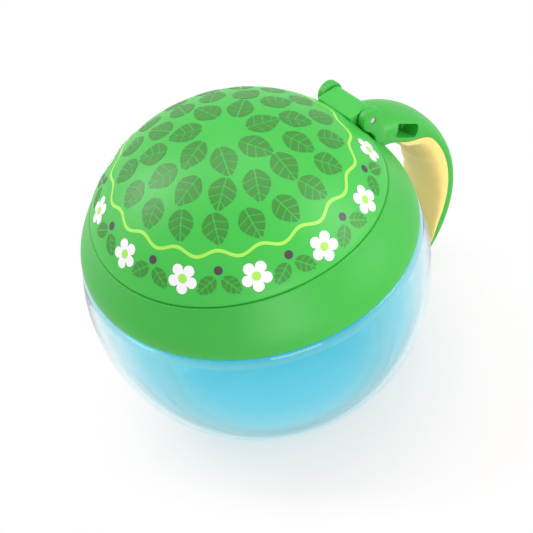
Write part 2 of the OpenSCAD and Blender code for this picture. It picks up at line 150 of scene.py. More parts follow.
def cup():
    """The cup's sizes in millimetres, with the values worked out from them."""
    sizes = bpy.context.scene.snack_cup_sizes
    names = sizes.bl_rna.properties.keys()
    s = SimpleNamespace(**{n: getattr(sizes, n) / (1 if n == "power" else MM)
                           for n in names if n not in ("rna_type", "name")})
    # Gaps between pieces that move and between pieces that stay together.
    s.run_gap, s.fit_gap = 0.3, 0.2
    # The bowl's shoulder and neck, and the collar's deck, bore, skirt and rim.
    s.rim_z = s.seam_z + s.collar_h
    s.shoulder_z = s.seam_z - s.fit_gap
    s.neck_top_z = s.shoulder_z + 6
    s.neck_in_r = s.neck_r - s.bowl_wall
    s.deck_z = s.neck_top_z + 1.8
    s.deck_top = s.deck_z + 1.6
    s.bore_r = s.collar_r - 2.8
    s.skirt_r = s.neck_in_r - 1.5
    s.rim_in_r = s.rim_r - 2.2
    s.saddle_r = s.rim_r ** 2 / (2 * s.saddle_rise)
    # The lid's dome, and the plug ring under it.
    s.dome_r = (s.rim_r ** 2 + s.dome_h ** 2) / (2 * s.dome_h)
    s.dome_z = s.rim_z + s.dome_h - s.dome_r
    s.plug_r, s.plug_z = s.rim_in_r - 1.75, s.rim_z - 2.6
    # The hinge: where an ear starts and ends along the pin, the lug and the pin's hole.
    s.ear_in, s.ear_out, s.lug_r, s.hole_r = 6.8, 9.3, 2.7, 0.94
    # The handle's path is two arcs that meet at its furthest point. Turns along it are in
    # degrees from there, up to the collar and down to the arm's tip.
    s.arc_top_r, s.arc_low_r, s.low_turn = 32.4, 32, 56
    s.grip_top, s.grip_low = 60, 54
    s.root_y = s.collar_r - 0.7
    # The membrane: its thickness, the slits between its petals and its underside.
    s.sheet, s.slit = 1.1, 0.4
    s.sheet_z = s.deck_z - s.fit_gap - s.sheet
    return s


def saddle_at(s, x):
    """Height that the rim gains at a distance x from the middle."""
    return s.saddle_r - sqrt(s.saddle_r ** 2 - x * x)


def between(value, low, high):
    """Where a value stands from low to high, as a share from 0 to 1."""
    return min(1, max(0, (value - low) / (high - low)))


def ease(share):
    """The share, with a gentle start and end."""
    return share * share * (3 - 2 * share)


def arc(middle, radius, turns):
    """Points on a circle, at turns in degrees."""
    return [(middle[0] + radius * cos(a), middle[1] + radius * sin(a))
            for a in map(radians, turns)]


# ---- making meshes ----


def link_mesh(bm, name):
    """Turns a bmesh into an object in the scene."""
    mesh = bpy.data.meshes.new(name)
    bm.to_mesh(mesh)
    bm.free()
    piece = bpy.data.objects.new(name, mesh)
    bpy.context.scene.collection.objects.link(piece)
    return piece


def close_up(bm):
    """Closes seams, poles and open ends, and turns every face outwards."""
    bmesh.ops.remove_doubles(bm, verts=bm.verts, dist=0.002)
    bmesh.ops.holes_fill(bm, edges=[e for e in bm.edges if e.is_boundary], sides=0)
    bmesh.ops.recalc_face_normals(bm, faces=bm.faces)


def finish_mesh(bm, name, material, smooth_angle=35):
    """Closes the shape, turns millimetres to metres and links the object."""
    close_up(bm)
    bmesh.ops.scale(bm, vec=(MM, MM, MM), verts=bm.verts)
    piece = link_mesh(bm, name)
    piece.data.materials.append(material)
    piece.data.shade_smooth()
    piece.data.set_sharp_from_angle(angle=radians(smooth_angle))
    return piece


def join(bm, extra):
    """Adds another bmesh to bm."""
    carrier = bpy.data.meshes.new("carrier")
    extra.to_mesh(carrier)
    extra.free()
    bm.from_mesh(carrier)
    bpy.data.meshes.remove(carrier)


def carve(bm, *cutters):
    """Cuts closed shapes out of a closed shape and returns what is left."""
    close_up(bm)
    host = link_mesh(bm, "host")
    tools = []
    for cutter in cutters:
        close_up(cutter)
        tool = link_mesh(cutter, "tool")
        cut = host.modifiers.new("cut", "BOOLEAN")
        cut.operation, cut.solver, cut.object = "DIFFERENCE", "EXACT", tool
        tools.append(tool)
    baked = bpy.data.meshes.new_from_object(
        host.evaluated_get(bpy.context.evaluated_depsgraph_get()))
    left = bmesh.new()
    left.from_mesh(baked)
    for obj in [host] + tools:
        old = obj.data
        bpy.data.objects.remove(obj)
        bpy.data.meshes.remove(old)
    bpy.data.meshes.remove(baked)
    return left


def turn_all(bm, angle, axis):
    """Turns a shape by degrees about an axis through the origin."""
    bmesh.ops.rotate(bm, cent=(0, 0, 0), verts=bm.verts,
                     matrix=Matrix.Rotation(radians(angle), 3, axis))


def drum(radius, tall, segments):
    """An upright cylinder about the origin."""
    bm = bmesh.new()
    bmesh.ops.create_cone(bm, cap_ends=True, segments=segments, radius1=radius,
                          radius2=radius, depth=tall)
    return bm


def rod(radius, x_from, x_to, y, z, segments=64):
    """A round bar along X."""
    bm = drum(radius, x_to - x_from, segments)
    turn_all(bm, 90, "Y")
    bmesh.ops.translate(bm, vec=((x_from + x_to) / 2, y, z), verts=bm.verts)
    return bm


def spin_profile(profile, steps, centre_y=0):
    """Spins an outline of (radius, height) points about an upright axis."""
    bm = bmesh.new()
    verts = [bm.verts.new((r, centre_y, z)) for r, z in profile]
    edges = [bm.edges.new(pair) for pair in zip(verts, verts[1:])]
    bmesh.ops.spin(bm, geom=verts + edges, cent=(0, centre_y, 0), axis=(0, 0, 1),
                   angle=tau, steps=steps, use_merge=True)
    return bm


def spin_ring(outline, steps, centre_y=0):
    """Spins a closed outline into a ring."""
    return spin_profile(outline + outline[:1], steps, centre_y)


def sheet_of(columns, rows, place):
    """A grid bent into shape: place(u, v) gives each point, u and v run from 0 to 1."""
    bm = bmesh.new()
    bmesh.ops.create_grid(bm, x_segments=columns, y_segments=rows, size=0.5)
    for vert in bm.verts:
        vert.co = place(vert.co.x + 0.5, vert.co.y + 0.5)
    return bm


def rounded(points, radius, steps=4):
    """A closed outline whose corners are arcs; radius is one number or one for each corner."""
    out = []
    count = len(points)
    for i, here in enumerate(points):
        r = radius[i] if isinstance(radius, (list, tuple)) else radius
        before = Vector(points[i - 1]) - Vector(here)
        after = Vector(points[(i + 1) % count]) - Vector(here)
        if r <= 0:
            out.append(tuple(here))
            continue
        turn = before.angle(after)
        back = r / tan(turn / 2)
        start = Vector(here) + before.normalized() * back
        end = Vector(here) + after.normalized() * back
        middle = Vector(here) + (before.normalized() + after.normalized()).normalized() * (
            r / sin(turn / 2))
        a, b = start - middle, end - middle
        for k in range(steps + 1):
            t = k / steps
            arm = (a * (1 - t) + b * t).normalized() * r
            out.append(tuple(middle + arm))
    return out


def bar_section(r_in, r_out, low, tall, radius, steps=4):
    """Outline of a square-cut ring or bar with rounded corners."""
    top = low + tall
    return rounded([(r_in, low), (r_out, low), (r_out, top), (r_in, top)], radius, steps)


def round_edges(bm, edges, width, segments):
    """Rounds edges, with that many faces across each."""
    bmesh.ops.bevel(bm, geom=edges, offset=width, affect="EDGES", segments=segments,
                    profile=0.5, material=-1)


def end_edges(bm):
    """Edges that lie square to X, round the ends of a bar or a plate."""
    return [e for e in bm.edges if abs(e.verts[0].co.x - e.verts[1].co.x) < 0.01]


def plate(points, push):
    """A flat outline, pushed out to a thickness."""
    bm = bmesh.new()
    face = bm.faces.new([bm.verts.new(point) for point in points])
    pushed = bmesh.ops.extrude_face_region(bm, geom=[face])
    new = [g for g in pushed["geom"] if isinstance(g, bmesh.types.BMVert)]
    bmesh.ops.translate(bm, vec=push, verts=new)
    return bm


def slab(outline, x_low, x_high, edge):
    """A plate cut to an outline of (y, z) points, between two x, with rounded edges."""
    bm = plate([(x_low, y, z) for y, z in outline], (x_high - x_low, 0, 0))
    round_edges(bm, end_edges(bm), edge, 3)
    return bm


# ---- materials ----


def add(tree, kind, settings=None, links=None):
    """Adds a node: settings are its properties or inputs, links feed its inputs, each
    from a socket or from the first output that another node shows."""
    node = tree.nodes.new(kind)
    for key, value in (settings or {}).items():
        if isinstance(key, str) and hasattr(node, key):
            setattr(node, key, value)
        else:
            node.inputs[key].default_value = value
    for key, source in (links or {}).items():
        if isinstance(source, bpy.types.Node):
            source = next(output for output in source.outputs if output.enabled)
        tree.links.new(source, node.inputs[key])
    return node


def new_material(name):
    """A material and its empty node tree."""
    material = bpy.data.materials.new(name)
    material.use_nodes = True
    tree = material.node_tree
    tree.nodes.clear()
    return material, tree


def per_mm(size):
    """Noise scale whose features are about that many millimetres across."""
    return 1 / (size * MM)


def rgba(colour, factor=1):
    """A colour with its alpha, made lighter or darker by a factor."""
    return (*(min(1, c * factor) for c in colour), 1)


def translucent(weight, reach_mm):
    """Shader settings for light that goes a little way into a polymer."""
    return {"Subsurface Weight": weight, "Subsurface Radius": [mm * MM for mm in reach_mm],
            "Subsurface Scale": 1.0}


def moulded(name, colour, roughness, spread, grain_mm, grain_depth, clouds_mm=22, tone=0.04,
            finish=None):
    """Moulded polymer: flow marks as faint clouds of tone, a fine even mould grain and,
    in finish, the shader settings of its own."""
    material, tree = new_material(name)
    place = add(tree, "ShaderNodeTexCoord").outputs["Object"]
    clouds = add(tree, "ShaderNodeTexNoise", {"Scale": per_mm(clouds_mm), "Detail": 2},
                 {"Vector": place})
    grain = add(tree, "ShaderNodeTexNoise", {"Scale": per_mm(grain_mm), "Detail": 3},
                {"Vector": place})
    dye = add(tree, "ShaderNodeMix",
              {"data_type": "RGBA", "A": rgba(colour, 1 - tone), "B": rgba(colour, 1 + tone)},
              {"Factor": clouds})
    gloss = add(tree, "ShaderNodeMapRange",
                {"To Min": roughness - spread, "To Max": roughness + spread}, {"Value": clouds})
    bump = add(tree, "ShaderNodeBump", {"Strength": 0.35, "Distance": grain_depth * MM},
               {"Height": grain})
    shader = add(tree, "ShaderNodeBsdfPrincipled", {"IOR": 1.49, **(finish or {})},
                 {"Base Color": dye, "Roughness": gloss, "Normal": bump})
    add(tree, "ShaderNodeOutputMaterial", links={"Surface": shader})
    return material


def polypropylene(name, colour):
    # Injection-moulded polypropylene with a fine spark-eroded grain: an even satin
    # with broad soft highlights. Its 0.1 mm grain is drawn at 0.5 mm so that it shows.
    return moulded(name, colour, 0.42, 0.04, grain_mm=0.5, grain_depth=0.012,
                   finish=translucent(0.08, (0.6, 1.6, 0.5)))


def clear_copolyester(name, palette):
    # Moulded dyed copolyester: glassy and see-through with a little haze, and slow waves in the
    # wall that bend what lies behind it. Painted into its colour: a paler blue towards its outline
    # above the base, a painted reflection and painted light from behind, and a deeper blue in the
    # middle of the base, a painted shade. Lamps reach through it, tinted.
    material, tree = new_material(name)
    place = add(tree, "ShaderNodeTexCoord").outputs["Object"]
    waves = add(tree, "ShaderNodeTexNoise", {"Scale": per_mm(30), "Detail": 1}, {"Vector": place})
    bump = add(tree, "ShaderNodeBump", {"Strength": 0.1, "Distance": 0.1 * MM}, {"Height": waves})
    tone = add(tree, "ShaderNodeMix",
               {"data_type": "RGBA", "A": rgba(palette.bowl, 0.97), "B": rgba(palette.bowl, 1.03)},
               {"Factor": waves})
    height = add(tree, "ShaderNodeSeparateXYZ", links={"Vector": place})
    from_heart = add(tree, "ShaderNodeVectorMath", {"operation": "LENGTH"}, {0: place})
    slope = add(tree, "ShaderNodeLayerWeight", {"Blend": 0.5})
    # Masks for painted light: height and facing lay the painted reflection, distance from the
    # middle keeps the painted shade.
    over_base, off_painted_shade, outline = (
        add(tree, "ShaderNodeMapRange",
            {"interpolation_type": "SMOOTHSTEP", "From Min": low, "From Max": high},
            {"Value": source})
        for source, low, high in ((height.outputs["Z"], 5 * MM, 21 * MM),
                                  (from_heart, 22 * MM, 34 * MM),
                                  (slope.outputs["Facing"], 0.04, 0.25)))
    # Painted shade: the deeper blue near the middle of the base, fading out from 22 to 34 mm.
    dye = add(tree, "ShaderNodeMix", {"data_type": "RGBA", "A": rgba(palette.bowl_painted_shade)},
              {"Factor": off_painted_shade, "B": tone})
    # Painted reflection and painted light from behind: paler towards the outline, above the base.
    painted_reflection_share = add(tree, "ShaderNodeMath", {"operation": "MULTIPLY"}, {0: outline, 1: over_base})
    colour_seen = add(tree, "ShaderNodeMix", {"data_type": "RGBA", "B": rgba(palette.bowl_painted_reflection)},
                      {"Factor": painted_reflection_share, "A": dye})
    glassy = add(tree, "ShaderNodeBsdfPrincipled",
                 {"Roughness": 0.02, "IOR": 1.5, "Transmission Weight": 1.0},
                 {"Base Color": colour_seen, "Normal": bump})
    let_through = add(tree, "ShaderNodeBsdfTransparent", {"Color": rgba(palette.bowl_lit)})
    path = add(tree, "ShaderNodeLightPath")
    shader = add(tree, "ShaderNodeMixShader",
                 links={0: path.outputs["Is Shadow Ray"], 1: glassy, 2: let_through})
    add(tree, "ShaderNodeOutputMaterial", links={"Surface": shader})
    return material


def soft_elastomer(name, colour):
    # Overmoulded thermoplastic elastomer: chalky, dry to the touch, with no sharp highlight.
    return moulded(name, colour, 0.72, 0.05, grain_mm=0.45, grain_depth=0.02, tone=0.03,
                   finish={"Sheen Weight": 0.15, "Sheen Roughness": 0.5})


def milky_silicone(name, colour):
    # Moulded silicone: translucent and milky, with a waxy gleam.
    return moulded(name, colour, 0.5, 0.05, grain_mm=0.8, grain_depth=0.01, tone=0.02,
                   finish=translucent(0.3, (1.5, 1.5, 1.4)))


def pad_ink(name, colour):
    # Pad-printed ink: a thin even film, a little glossier than the moulding under it.
    return moulded(name, colour, 0.38, 0.03, grain_mm=0.6, grain_depth=0.008, clouds_mm=9,
                   tone=0.05)


def turned_steel(name, colour):
    # Bright stainless pin, turned: fine rings round its axis catch the light.
    material, tree = new_material(name)
    place = add(tree, "ShaderNodeTexCoord").outputs["Object"]
    rings = add(tree, "ShaderNodeTexWave",
                {"wave_type": "RINGS", "rings_direction": "X", "Scale": per_mm(4),
                 "Distortion": 1.5}, {"Vector": place}).outputs["Fac"]
    rough = add(tree, "ShaderNodeMapRange", {"To Min": 0.22, "To Max": 0.38}, {"Value": rings})
    bump = add(tree, "ShaderNodeBump", {"Strength": 0.2, "Distance": 0.01 * MM}, {"Height": rings})
    shader = add(tree, "ShaderNodeBsdfPrincipled", {"Base Color": rgba(colour), "Metallic": 1.0},
                 {"Roughness": rough, "Normal": bump})
    add(tree, "ShaderNodeOutputMaterial", links={"Surface": shader})
    return material


def colours():
    """The colours that a user can set."""
    return bpy.context.scene.snack_cup_colours


# ---- the bowl ----


def bowl_at(s, z):
    """Outer radius of the bowl at a height."""
    if z < s.belly_z:
        return s.bowl_r * (1 - ((s.belly_z - z) / s.curve_h) ** s.power) ** (1 / s.power)
    share, set_back = (z - s.belly_z) / (s.shoulder_z - s.belly_z), 0.1
    return s.bowl_r - (s.bowl_r - s.collar_r + set_back) * share ** 2


def bowl_side(s, z_from, z_to, inset, count):
    """Points along the bowl's side, an inset within its outer face."""
    heights = [z_from + (z_to - z_from) * i / count for i in range(count + 1)]
    return [(bowl_at(s, z) - inset, z) for z in heights]


def base_edge(s, count=8):
    """Curve from the flat base to the side, touching both as tangents."""
    step = 0.1
    side = Vector((bowl_at(s, s.base_edge_h), s.base_edge_h))
    slope = (bowl_at(s, s.base_edge_h + step) - side.x) / step
    corner = Vector((side.x - slope * s.base_edge_h, 0))
    flat = corner - Vector(((side - corner).length, 0))
    return [tuple(flat * (1 - t) ** 2 + corner * 2 * t * (1 - t) + side * t * t)
            for t in (i / count for i in range(count))]


def thread_ramp(bm, r_in, r_out, z_low, start):
    """Adds a bar of 1.1 mm that climbs 1.8 mm along a helix of 54 degrees."""
    run, rise, tall = radians(54), 1.8, 1.1
    outline = bar_section(r_in, r_out, 0, tall, [0, 0.3, 0.3, 0])

    def place(u, v):
        r, z = outline[round(u * len(outline)) % len(outline)]
        turn = start + run * (v - 0.5)
        return (r * cos(turn), r * sin(turn), z_low + z + rise * v)

    join(bm, sheet_of(len(outline), 18, place))


class SNACKCUP_OT_bowl(bpy.types.Operator):
    """Spins the see-through bowl and adds the three thread ramps on its neck"""

    bl_idname = "snackcup.bowl"
    bl_label = "Bowl"

    def execute(self, context):
        s = cup()
        outside = ([(0, 0)] + base_edge(s) + bowl_side(s, s.base_edge_h, s.belly_z, 0, 26)
                   + bowl_side(s, s.belly_z + 1, s.shoulder_z - 0.4, 0, 8)
                   + [(s.collar_r - 0.25, s.shoulder_z - 0.1), (s.collar_r - 0.6, s.shoulder_z)])
        r, r_in, low, top = s.neck_r, s.neck_in_r, s.shoulder_z, s.neck_top_z
        soft, cut = 0.4, 0.12
        neck = [(r + 0.3, low), (r, low + 0.3), (r, top - soft), (r - cut, top - cut),
                (r - soft, top), (r_in + soft, top), (r_in + cut, top - cut),
                (r_in, top - soft), (r_in, low - 0.6), (r_in + soft, low - 1.5)]
        wall, floor = s.bowl_wall, s.bowl_floor
        bend_z = floor + 3
        bend_r = bowl_at(s, bend_z) - wall
        inside = (bowl_side(s, low - 2 * wall, s.belly_z + 1, wall, 7)
                  + bowl_side(s, s.belly_z, bend_z, wall, 20)
                  + [(bend_r - back, floor + up)
                     for back, up in ((0.9, 1.4), (2.2, 0.45), (4, 0.08), (6, 0))]
                  + [(0, floor)])
        bm = spin_profile(outside + neck + inside, 176)
        for k in range(3):
            thread_ramp(bm, r - 0.5, r + 1.5, low + 1.8, tau * k / 3)
        piece = finish_mesh(bm, "bowl_clear",
                            clear_copolyester("clear_dyed_copolyester", colours()), 40)
        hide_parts("bowl")
        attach(piece, "bowl")
        return {"FINISHED"}


# ---- the collar ----


def flank_at(s, share):
    """Outer radius of the collar at a share of its height."""
    middle = (s.collar_r + s.rim_r) / 2 + s.bulge
    return (s.collar_r * (1 - share) * (1 - 2 * share) + 4 * middle * share * (1 - share)
            + s.rim_r * share * (2 * share - 1)
            + s.low_full * share * (1 - share) * (1 - 2 * share))


def saddle_collar(s, point):
    """Moves a point of the round collar to where the saddle-shaped rim has it."""
    r, turn, z = hypot(point.x, point.y), atan2(point.y, point.x), point.z
    height, near = (z - s.seam_z) / s.collar_h, 0.05
    flank = r > flank_at(s, height) - 0.6 or z > s.deck_top + near
    if z < s.deck_top - near and not flank:
        return
    rise = saddle_at(s, s.rim_r * cos(turn))
    top_r = sqrt(s.dome_r ** 2 - (s.rim_z + rise - s.dome_z) ** 2)
    out = between(r, s.rim_in_r, s.rim_r)
    above_deck = between(z, s.deck_top, s.rim_z)
    deck = between(r, s.mouth_r, s.rim_in_r)
    lift = out * height + (1 - out) * above_deck
    shift = out * height + (1 - out) * deck
    r -= out * height * (s.rim_r - top_r)
    point.x = r * cos(turn)
    point.y = r * sin(turn) - s.rim_shift * shift
    point.z = z + lift * rise


def collar_outline(s):
    """Closed section of the collar as (radius, height) points, flank first."""
    flank = [(flank_at(s, i / 14), s.seam_z + s.collar_h * i / 14) for i in range(1, 14)]
    upper_bore, step_z = s.neck_r + s.run_gap, s.shoulder_z + 5
    skirt_in, skirt_out, skirt_z = s.skirt_r, s.neck_in_r - 0.3, s.deck_z - 3.25
    corners = ([(s.collar_r, s.seam_z)] + flank
               + [(s.rim_r, s.rim_z), (s.rim_in_r, s.rim_z), (s.rim_in_r, s.deck_top),
                  (s.mouth_r, s.deck_top), (s.mouth_r, s.deck_z), (skirt_in, s.deck_z),
                  (skirt_in, skirt_z + 0.45), (skirt_in - 0.45, skirt_z + 0.25),
                  (skirt_in - 0.1, skirt_z), (skirt_out, skirt_z), (skirt_out, s.deck_z),
                  (upper_bore, s.deck_z), (upper_bore, step_z), (s.bore_r, step_z),
                  (s.bore_r, s.seam_z)])
    radii = ([0.45] + [0] * len(flank) + [0.3, 0.35, 0.5, 0.6, 0.5, 0.2, 0.1, 0.05, 0.05]
             + [0.2] * 5 + [0.3])
    return rounded(corners, radii)


def ear_outline(s):
    """Ear seen from the side: a round end, a front that keeps clear of the lid's dome
    and a straight back, all standing in the collar's wall."""
    back, foot, clear = s.pin_y + s.ear_r, s.deck_top + 0.3, s.dome_r + s.run_gap
    front = [(sqrt(clear ** 2 - (z - s.dome_z) ** 2 - s.ear_in ** 2) - s.rim_shift, z)
             for z in (s.rim_z + up for up in (2.2, 1.6, 0.9, 0.2))]
    return (arc((s.pin_y, s.pin_z), s.ear_r, range(0, 241, 10)) + front
            + [(front[-1][0], foot), (back, foot)])


def lid_room(s):
    """The space above the rim that the lid's edge needs."""
    tall = 40
    bm = drum(s.rim_r + 2 * s.run_gap, tall, 160)
    bmesh.ops.translate(bm, vec=(0, -s.rim_shift, s.rim_z + tall / 2), verts=bm.verts)
    return bm


class SNACKCUP_OT_collar(bpy.types.Operator):
    """Spins the screw collar, bends its rim to the saddle and adds ramps, ears and boss"""

    bl_idname = "snackcup.collar"
    bl_label = "Collar"

    def execute(self, context):
        s = cup()
        bm = spin_ring(collar_outline(s), 192)
        for vert in bm.verts:
            saddle_collar(s, vert.co)
        for k in range(3):
            thread_ramp(bm, s.neck_r + 0.5, s.bore_r + 0.5, s.shoulder_z + 0.3, tau * k / 3)
        for x in (s.ear_in, -s.ear_out):
            ear = slab(ear_outline(s), x, x + s.ear_out - s.ear_in, 0.4)
            join(bm, carve(ear, rod(s.hole_r, -20, 20, s.pin_y, s.pin_z)))
        inside_wall = 84
        boss = sweep(s, arm_outline, inside_wall, root_turn(s), 14)
        barrel_room = rod(s.lug_r + s.run_gap, -s.ear_in, s.ear_in, s.pin_y, s.pin_z)
        join(bm, carve(boss, lid_room(s), barrel_room))
        piece = finish_mesh(bm, "collar_moulding",
                            polypropylene("satin_polypropylene", colours().collar), 40)
        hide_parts("collar")
        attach(piece, "collar")
        return {"FINISHED"}


# ---- the handle ----


def root_turn(s):
    """Angle of the handle's path where it leaves the collar."""
    return degrees(acos((s.root_y - s.handle_reach + s.arc_top_r) / s.arc_top_r))


def handle_point(s, turn, x, depth):
    """A point at a depth under the handle's crest, on the path's turn in degrees."""
    a = radians(turn)
    r = s.arc_top_r if turn >= 0 else s.arc_low_r
    along = r - depth
    return (x, s.handle_reach - r + along * cos(a), s.handle_z + along * sin(a))


def arm_thick(s, turn):
    """Thickness of the arm: even behind the grip, more at the root and less at the tip."""
    even, root, tip = 4.1, 7.6, 2.4
    if turn >= 0:
        return even + (root - even) * ease(between(turn, 31, 54))
    return even + (tip - even) * ease(between(-turn, 0.6 * s.low_turn, s.low_turn))


def arm_crown(s, turn):
    """How far the arm's back is curved across it, less towards the tip."""
    root, tip, root_ends = 4, 1.8, 70
    return root + (tip - root) * ease(between(turn, root_ends, -s.low_turn))


def arm_outline(s, turn, count=22):
    """Closed section as (x, depth): an elliptic back and a flat inner face."""
    half, crown, thick = s.handle_w / 2, arm_crown(s, turn), arm_thick(s, turn)
    back = [(half * cos(pi * i / count), crown * (1 - sin(pi * i / count)))
            for i in range(count + 1)]
    corner = min(0.5, (thick - crown) * 0.45)
    left = [(-half, thick - corner), (-half + corner * 0.3, thick - corner * 0.3),
            (-half + corner, thick)]
    return back + left + [(-x, d) for x, d in reversed(left)]


def sweep(s, outline_at, turn_from, turn_to, steps):
    """A closed bar whose section follows the handle's path."""
    count = len(outline_at(s, turn_from))

    def place(u, v):
        turn = turn_from + (turn_to - turn_from) * v
        x, depth = outline_at(s, turn)[round(u * count) % count]
        return handle_point(s, turn, x, depth)

    return sheet_of(count, steps, place)


class SNACKCUP_OT_handle(bpy.types.Operator):
    """Sweeps the handle's arm from the collar's boss to its tip and cuts its pockets"""

    bl_idname = "snackcup.handle"
    bl_label = "Handle arm"

    def execute(self, context):
        s = cup()
        arm = sweep(s, arm_outline, root_turn(s), -s.low_turn, 110)
        bm = carve(arm, pocket(s, 1), pocket(s, -1))
        piece = finish_mesh(bm, "handle_arm_moulding",
                            polypropylene("satin_polypropylene_handle", colours().collar), 40)
        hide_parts("handle_arm")
        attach(piece, "collar")
        return {"FINISHED"}


def pocket(s, side):
    """Rounded block, 8.2 by 3.8 mm, that cuts a pocket in one side of the arm's root."""
    bm = bmesh.new()
    bmesh.ops.create_cube(bm, size=1)
    bmesh.ops.scale(bm, vec=(8, 8.2, 3.8), verts=bm.verts)
    round_edges(bm, bm.edges[:], 0.8, 4)
    turn, aside, depth = 56.2, 6.5, 4.3
    turn_all(bm, turn - 90, "X")
    bmesh.ops.translate(bm, vec=handle_point(s, turn, side * aside, depth), verts=bm.verts)
    return bm


def grip_full(s, turn):
    """Thickness of the grip in its middle, with eight shallow ribs along it."""
    least, most, rib_depth, ribs = 0.25, 5.9, 0.5, 8
    u = (s.grip_top - turn) / (s.grip_top + s.grip_low)
    swell = max(0, sin(pi * max(0, u) ** 0.8))
    dips = rib_depth * sin(pi * u) * (0.5 - 0.5 * cos(tau * ribs * u))
    return least + most * swell - dips


def grip_outline(s, turn, count=26):
    """Closed section as (x, depth): flat on the arm and crowned towards the hand."""
    half, foot, full = s.handle_w / 2, arm_thick(s, turn) + 0.02, grip_full(s, turn)
    hand = [(half * cos(pi * i / count),
             foot + full * (0.3 + 0.7 * sin(pi * i / count))) for i in range(count + 1)]
    return hand + [(-half, foot), (half, foot)]


class SNACKCUP_OT_grip(bpy.types.Operator):
    """Sweeps the soft ribbed grip on the handle's inner side"""

    bl_idname = "snackcup.grip"
    bl_label = "Grip"

    def execute(self, context):
        s = cup()
        bm = sweep(s, grip_outline, s.grip_top, -s.grip_low, 160)
        piece = finish_mesh(bm, "grip_soft", soft_elastomer("matte_elastomer", colours().grip), 50)
        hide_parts("handle_grip")
        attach(piece, "collar")
        return {"FINISHED"}


# ---- the membrane and the seals ----


def flap_sizes(s):
    """How far a petal's root is from the middle, and half of the root's width."""
    sector = pi / 8
    root = (s.mouth_r - 0.3) * cos(sector)
    return root, root * tan(sector) - s.slit / (2 * cos(sector))


class SNACKCUP_OT_membrane(bpy.types.Operator):
    """Makes the membrane's ring, its eight petals and the ring that clamps them"""

    bl_idname = "snackcup.membrane"
    bl_label = "Membrane"

    def execute(self, context):
        s = cup()
        silicone = milky_silicone("milky_silicone", colours().membrane)
        inner, outer = flap_sizes(s)[0] + 0.75, s.skirt_r - s.fit_gap
        outline = bar_section(0, 1, 0, 1, 0.2, 3)

        def place(u, v):
            turn = tau * v
            share, height = outline[round(u * len(outline)) % len(outline)]
            sector = (turn + pi / 8) % (pi / 4) - pi / 8
            start = inner / cos(sector)
            r = start + (outer - start) * share
            return (r * cos(turn), r * sin(turn), s.sheet_z + s.sheet * height)

        ring = finish_mesh(sheet_of(len(outline), 192, place), "membrane_outer_ring", silicone)
        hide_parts("membrane_ring")
        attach(ring, "collar")
        for k in range(8):
            self.petal(s, k, silicone)
        self.clamp(s)
        return {"FINISHED"}

    def petal(self, s, k, silicone):
        """One petal, from its root to a tip that leaves a small hole in the middle."""
        root, half = flap_sizes(s)
        outline = [(root, -half), (root, half)] + arc((0, 0), 1.55, (18, 9, 0, -9, -18))
        bm = plate([(x, y, s.sheet_z) for x, y in outline], (0, 0, s.sheet))
        round_edges(bm, bm.edges[:], 0.3, 3)
        turn_all(bm, 45 * k, "Z")
        petal = finish_mesh(bm, f"petal_{k + 1}", silicone)
        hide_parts(f"flap_{k + 1}")
        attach(petal, f"flap_{k + 1}_body")

    def clamp(self, s):
        """The ring under the membrane, inside the collar's skirt."""
        tall, slack = 1.28, 0.02
        low = s.sheet_z - s.fit_gap - slack - tall
        outline = bar_section(s.mouth_r + 0.6, s.skirt_r - slack, low, tall, 0.25)
        clamp = finish_mesh(spin_ring(outline, 144), "membrane_clamp_ring",
                            polypropylene("white_polypropylene", colours().clamp))
        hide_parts("membrane_retainer")
        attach(clamp, "collar")


class SNACKCUP_OT_seals(bpy.types.Operator):
    """Spins the flat ring on the bowl's edge and the lipped ring in the lid's plug"""

    bl_idname = "snackcup.seals"
    bl_label = "Seals"

    def execute(self, context):
        s = cup()
        silicone = milky_silicone("milky_silicone_seal", colours().membrane)
        outline = bar_section(s.neck_in_r, s.neck_r, s.neck_top_z + s.fit_gap, 1.4, 0.3)
        flat = finish_mesh(spin_ring(outline, 144), "bowl_edge_seal", silicone)
        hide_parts("bowl_seal")
        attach(flat, "seal")
        back, front, low = s.plug_r - 0.58, s.plug_r + 0.02, s.plug_z + 0.82
        tall, reach = 1.3, 1.1
        outline = [(back, low), (front, low)]
        outline += [(front + reach * cos(a) ** 0.6, low + tall / 2 + 0.5 * sin(a))
                    for a in map(radians, range(-80, 81, 20))]
        outline += [(front, low + tall), (back, low + tall)]
        lip = finish_mesh(spin_ring(outline, 144, -s.rim_shift), "lid_plug_seal", silicone)
        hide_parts("lid_seal")
        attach(lip, "lid")
        return {"FINISHED"}


# ---- the lid ----


def on_dome(s, turn, tilt, radius):
    """A point at an azimuth and a tilt from the dome's axis, both in radians."""
    return (radius * sin(tilt) * cos(turn), radius * sin(tilt) * sin(turn) - s.rim_shift,
            s.dome_z + radius * cos(tilt))


def rim_tilt(s, turn):
    """Tilt at which the lid's edge lies on the raised saddle."""
    tilt = 1.0
    for _ in range(6):
        z = s.rim_z + s.run_gap + saddle_at(s, s.dome_r * sin(tilt) * cos(turn))
        tilt = acos((z - s.dome_z) / s.dome_r)
    return tilt


def lid_section(s, base_tilt):
    """Section of the dome's wall as (tilt, radius), apex to rim and back inside."""
    soft, inner_r = 0.9, s.dome_r - s.lid_wall
    step = soft / s.dome_r
    outside = [(base_tilt * i / 44, s.dome_r) for i in range(43)]
    edge = [(base_tilt - step * (1 - sin(a)), s.dome_r - soft * (1 - cos(a)))
            for a in map(radians, range(0, 91, 18))]
    inner_edge = [(base_tilt - step * (1 - cos(a)), inner_r + soft * (1 - sin(a)))
                  for a in map(radians, range(0, 91, 30))]
    inside = [(base_tilt * i / 24, inner_r) for i in range(23, -1, -1)]
    return outside + edge + inner_edge + inside


